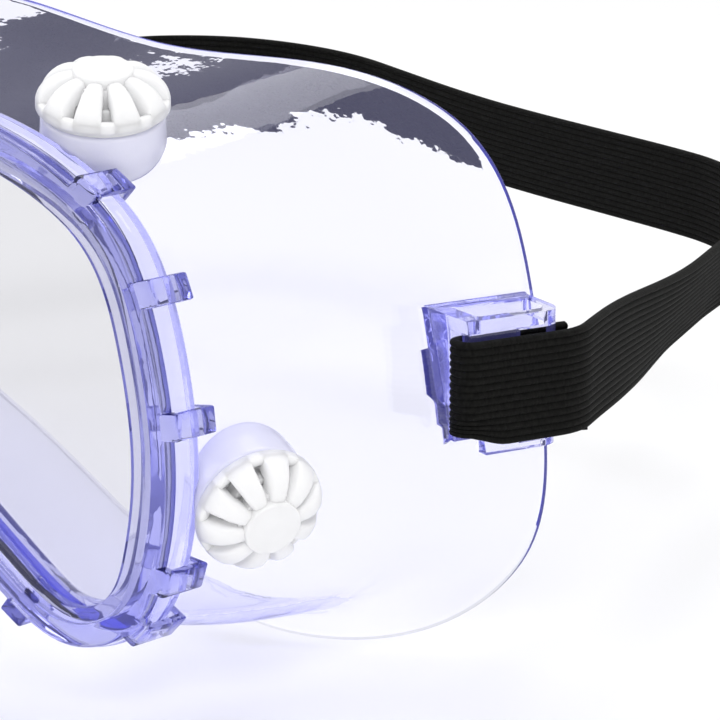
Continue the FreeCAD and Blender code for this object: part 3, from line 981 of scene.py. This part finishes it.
def elastic_material():
    nodes = Nodes("ribbed_elastic")
    shader = nodes.add("ShaderNodeBsdfPrincipled")
    shader.inputs["Roughness"].default_value = 0.78
    shader.inputs["Specular IOR Level"].default_value = 0.12
    shader.inputs["Sheen Weight"].default_value = 0.015
    shader.inputs["Sheen Roughness"].default_value = 0.5
    where = nodes.add("ShaderNodeTexCoord")
    stretch = nodes.add("ShaderNodeMapping")
    stretch.inputs["Scale"].default_value = (2600.0, 900.0, 1.0)
    nodes.link(where, "UV", stretch, "Vector")
    yarn = nodes.add("ShaderNodeTexNoise", Scale=1.0, Detail=3.0, Roughness=0.6)
    nodes.link(stretch, "Vector", yarn, "Vector")
    ramp = nodes.add("ShaderNodeValToRGB")
    ramp.color_ramp.elements[0].position = 0.35
    ramp.color_ramp.elements[0].color = (0.0015, 0.0015, 0.0013, 1)
    ramp.color_ramp.elements[1].position = 0.75
    ramp.color_ramp.elements[1].color = (0.009, 0.009, 0.008, 1)
    nodes.link(yarn, "Fac", ramp, "Fac")
    nodes.link(ramp, "Color", shader, "Base Color")
    wave = nodes.add("ShaderNodeTexWave", wave_type="BANDS", bands_direction="X")
    wave.inputs["Scale"].default_value = 620.0
    wave.inputs["Distortion"].default_value = 5.0
    wave.inputs["Detail"].default_value = 1.0
    wave.inputs["Detail Scale"].default_value = 4.0
    nodes.link(where, "UV", wave, "Vector")
    weave = nodes.add("ShaderNodeBump", Strength=0.35, Distance=0.00007)
    nodes.link(wave, "Fac", weave, "Height")
    fuzz = nodes.add("ShaderNodeBump", Strength=0.6, Distance=0.00012)
    nodes.link(yarn, "Fac", fuzz, "Height")
    nodes.link(weave, "Normal", fuzz, "Normal")
    nodes.link(fuzz, "Normal", shader, "Normal")
    nodes.link(shader, 0, nodes.output, "Surface")
    return nodes.material


def floor_material():
    nodes = Nodes("pale_floor")
    shader = nodes.add("ShaderNodeBsdfPrincipled")
    shader.inputs["Roughness"].default_value = 0.9
    where = nodes.add("ShaderNodeTexCoord")
    noise = nodes.add("ShaderNodeTexNoise", Scale=3.0, Detail=2.0)
    nodes.link(where, "Object", noise, "Vector")
    ramp = nodes.add("ShaderNodeValToRGB")
    ramp.color_ramp.elements[0].color = (0.93, 0.93, 0.935, 1)
    ramp.color_ramp.elements[1].color = (0.95, 0.95, 0.95, 1)
    nodes.link(noise, "Fac", ramp, "Fac")
    nodes.link(ramp, "Color", shader, "Base Color")
    nodes.link(shader, 0, nodes.output, "Surface")
    return nodes.material


def dress(obj, material):
    obj.data.materials.clear()
    obj.data.materials.append(material)


# ---------------------------------------------------------------------------
# Camera, light and floor
# ---------------------------------------------------------------------------

def build_stage():
    target = place(*CAMERA_TARGET)
    level = math.cos(CAMERA_ELEVATION)
    away = Vector((math.sin(CAMERA_AZIMUTH) * level, -math.cos(CAMERA_AZIMUTH) * level,
                   math.sin(CAMERA_ELEVATION)))
    data = bpy.data.cameras.new("camera")
    data.lens = CAMERA_LENS
    data.sensor_width = CAMERA_SENSOR
    data.clip_start = 0.01
    camera = bpy.data.objects.new("camera", data)
    camera.location = target + away * CAMERA_DISTANCE
    camera.rotation_euler = (-away).to_track_quat("-Z", "Y").to_euler()
    bpy.context.scene.collection.objects.link(camera)
    bpy.context.scene.camera = camera

    corners = [(-FLOOR_REACH, -FLOOR_REACH, 0), (FLOOR_REACH, -FLOOR_REACH, 0),
               (FLOOR_REACH, FLOOR_REACH, 0), (-FLOOR_REACH, FLOOR_REACH, 0)]
    floor = make_object("floor", corners, [(0, 1, 2, 3)])
    dress(floor, floor_material())

    world = bpy.data.worlds.new("studio")
    world.use_nodes = True
    sky = world.node_tree.nodes["Background"]
    sky.inputs["Color"].default_value = (1.0, 1.0, 1.0, 1)
    sky.inputs["Strength"].default_value = SKY_STRENGTH
    bpy.context.scene.world = world

    for name, spot, size, power in LIGHTS:
        light = bpy.data.lights.new(name, "AREA")
        light.shape = "DISK"
        light.size = size
        light.energy = power
        lamp = bpy.data.objects.new(name, light)
        lamp.location = spot
        lamp.rotation_euler = (target - Vector(spot)).to_track_quat("-Z", "Y").to_euler()
        bpy.context.scene.collection.objects.link(lamp)

    scene = bpy.context.scene
    scene.view_settings.view_transform = "Standard"
    scene.cycles.max_bounces = BOUNCES
    scene.cycles.transmission_bounces = BOUNCES
    scene.cycles.transparent_max_bounces = BOUNCES
    scene.cycles.glossy_bounces = GLOSSY_BOUNCES


# ---------------------------------------------------------------------------
# Build
# ---------------------------------------------------------------------------

build_stage()

CLEAR = (1.0, 1.0, 1.0)
# Each clear plastic below gets a painted blue glow, whose strength is the number given before its
# bumps.
PVC = clear_material("soft_clear_vinyl", CLEAR, roughness=0.02, ior=1.5,
                     tint=(0.38, 0.39, 0.88), density=100.0, painted_glow=0.035,
                     bumps=[(60.0, 0.12, 0.002), (420.0, 0.03, 0.0006)])
BEZEL_CLEAR = clear_material("clear_rigid_bezel", CLEAR, roughness=0.03, ior=1.5,
                             tint=(0.36, 0.37, 0.76), density=420.0, painted_glow=0.015,
                             bumps=[(90.0, 0.1, 0.002)])
LENS_CLEAR = clear_material("clear_polycarbonate", (0.79, 0.79, 0.81), roughness=0.0, ior=1.45,
                            tint=(0.88, 0.88, 0.92), density=120.0, painted_glow=0.0,
                            bumps=[(15.0, 0.02, 0.002)])
WHITE = white_material("vent_polypropylene", (0.92, 0.92, 0.925), (0.86, 0.86, 0.87), 0.42)
MILKY = white_material("milky_vinyl", (0.8, 0.8, 0.93), (0.74, 0.74, 0.89), 0.2)
ELASTIC = elastic_material()

soft_frame, vent_collars = build_frame()
dress(soft_frame, PVC)
for vent_collar in vent_collars:
    dress(vent_collar, MILKY)
dress(build_bezel(), BEZEL_CLEAR)
dress(build_lens(), LENS_CLEAR)
for vent_joint in VENT_JOINTS:
    dress(build_cap(vent_joint), WHITE)
    dress(build_base(vent_joint), WHITE)
dress(build_band(), ELASTIC)
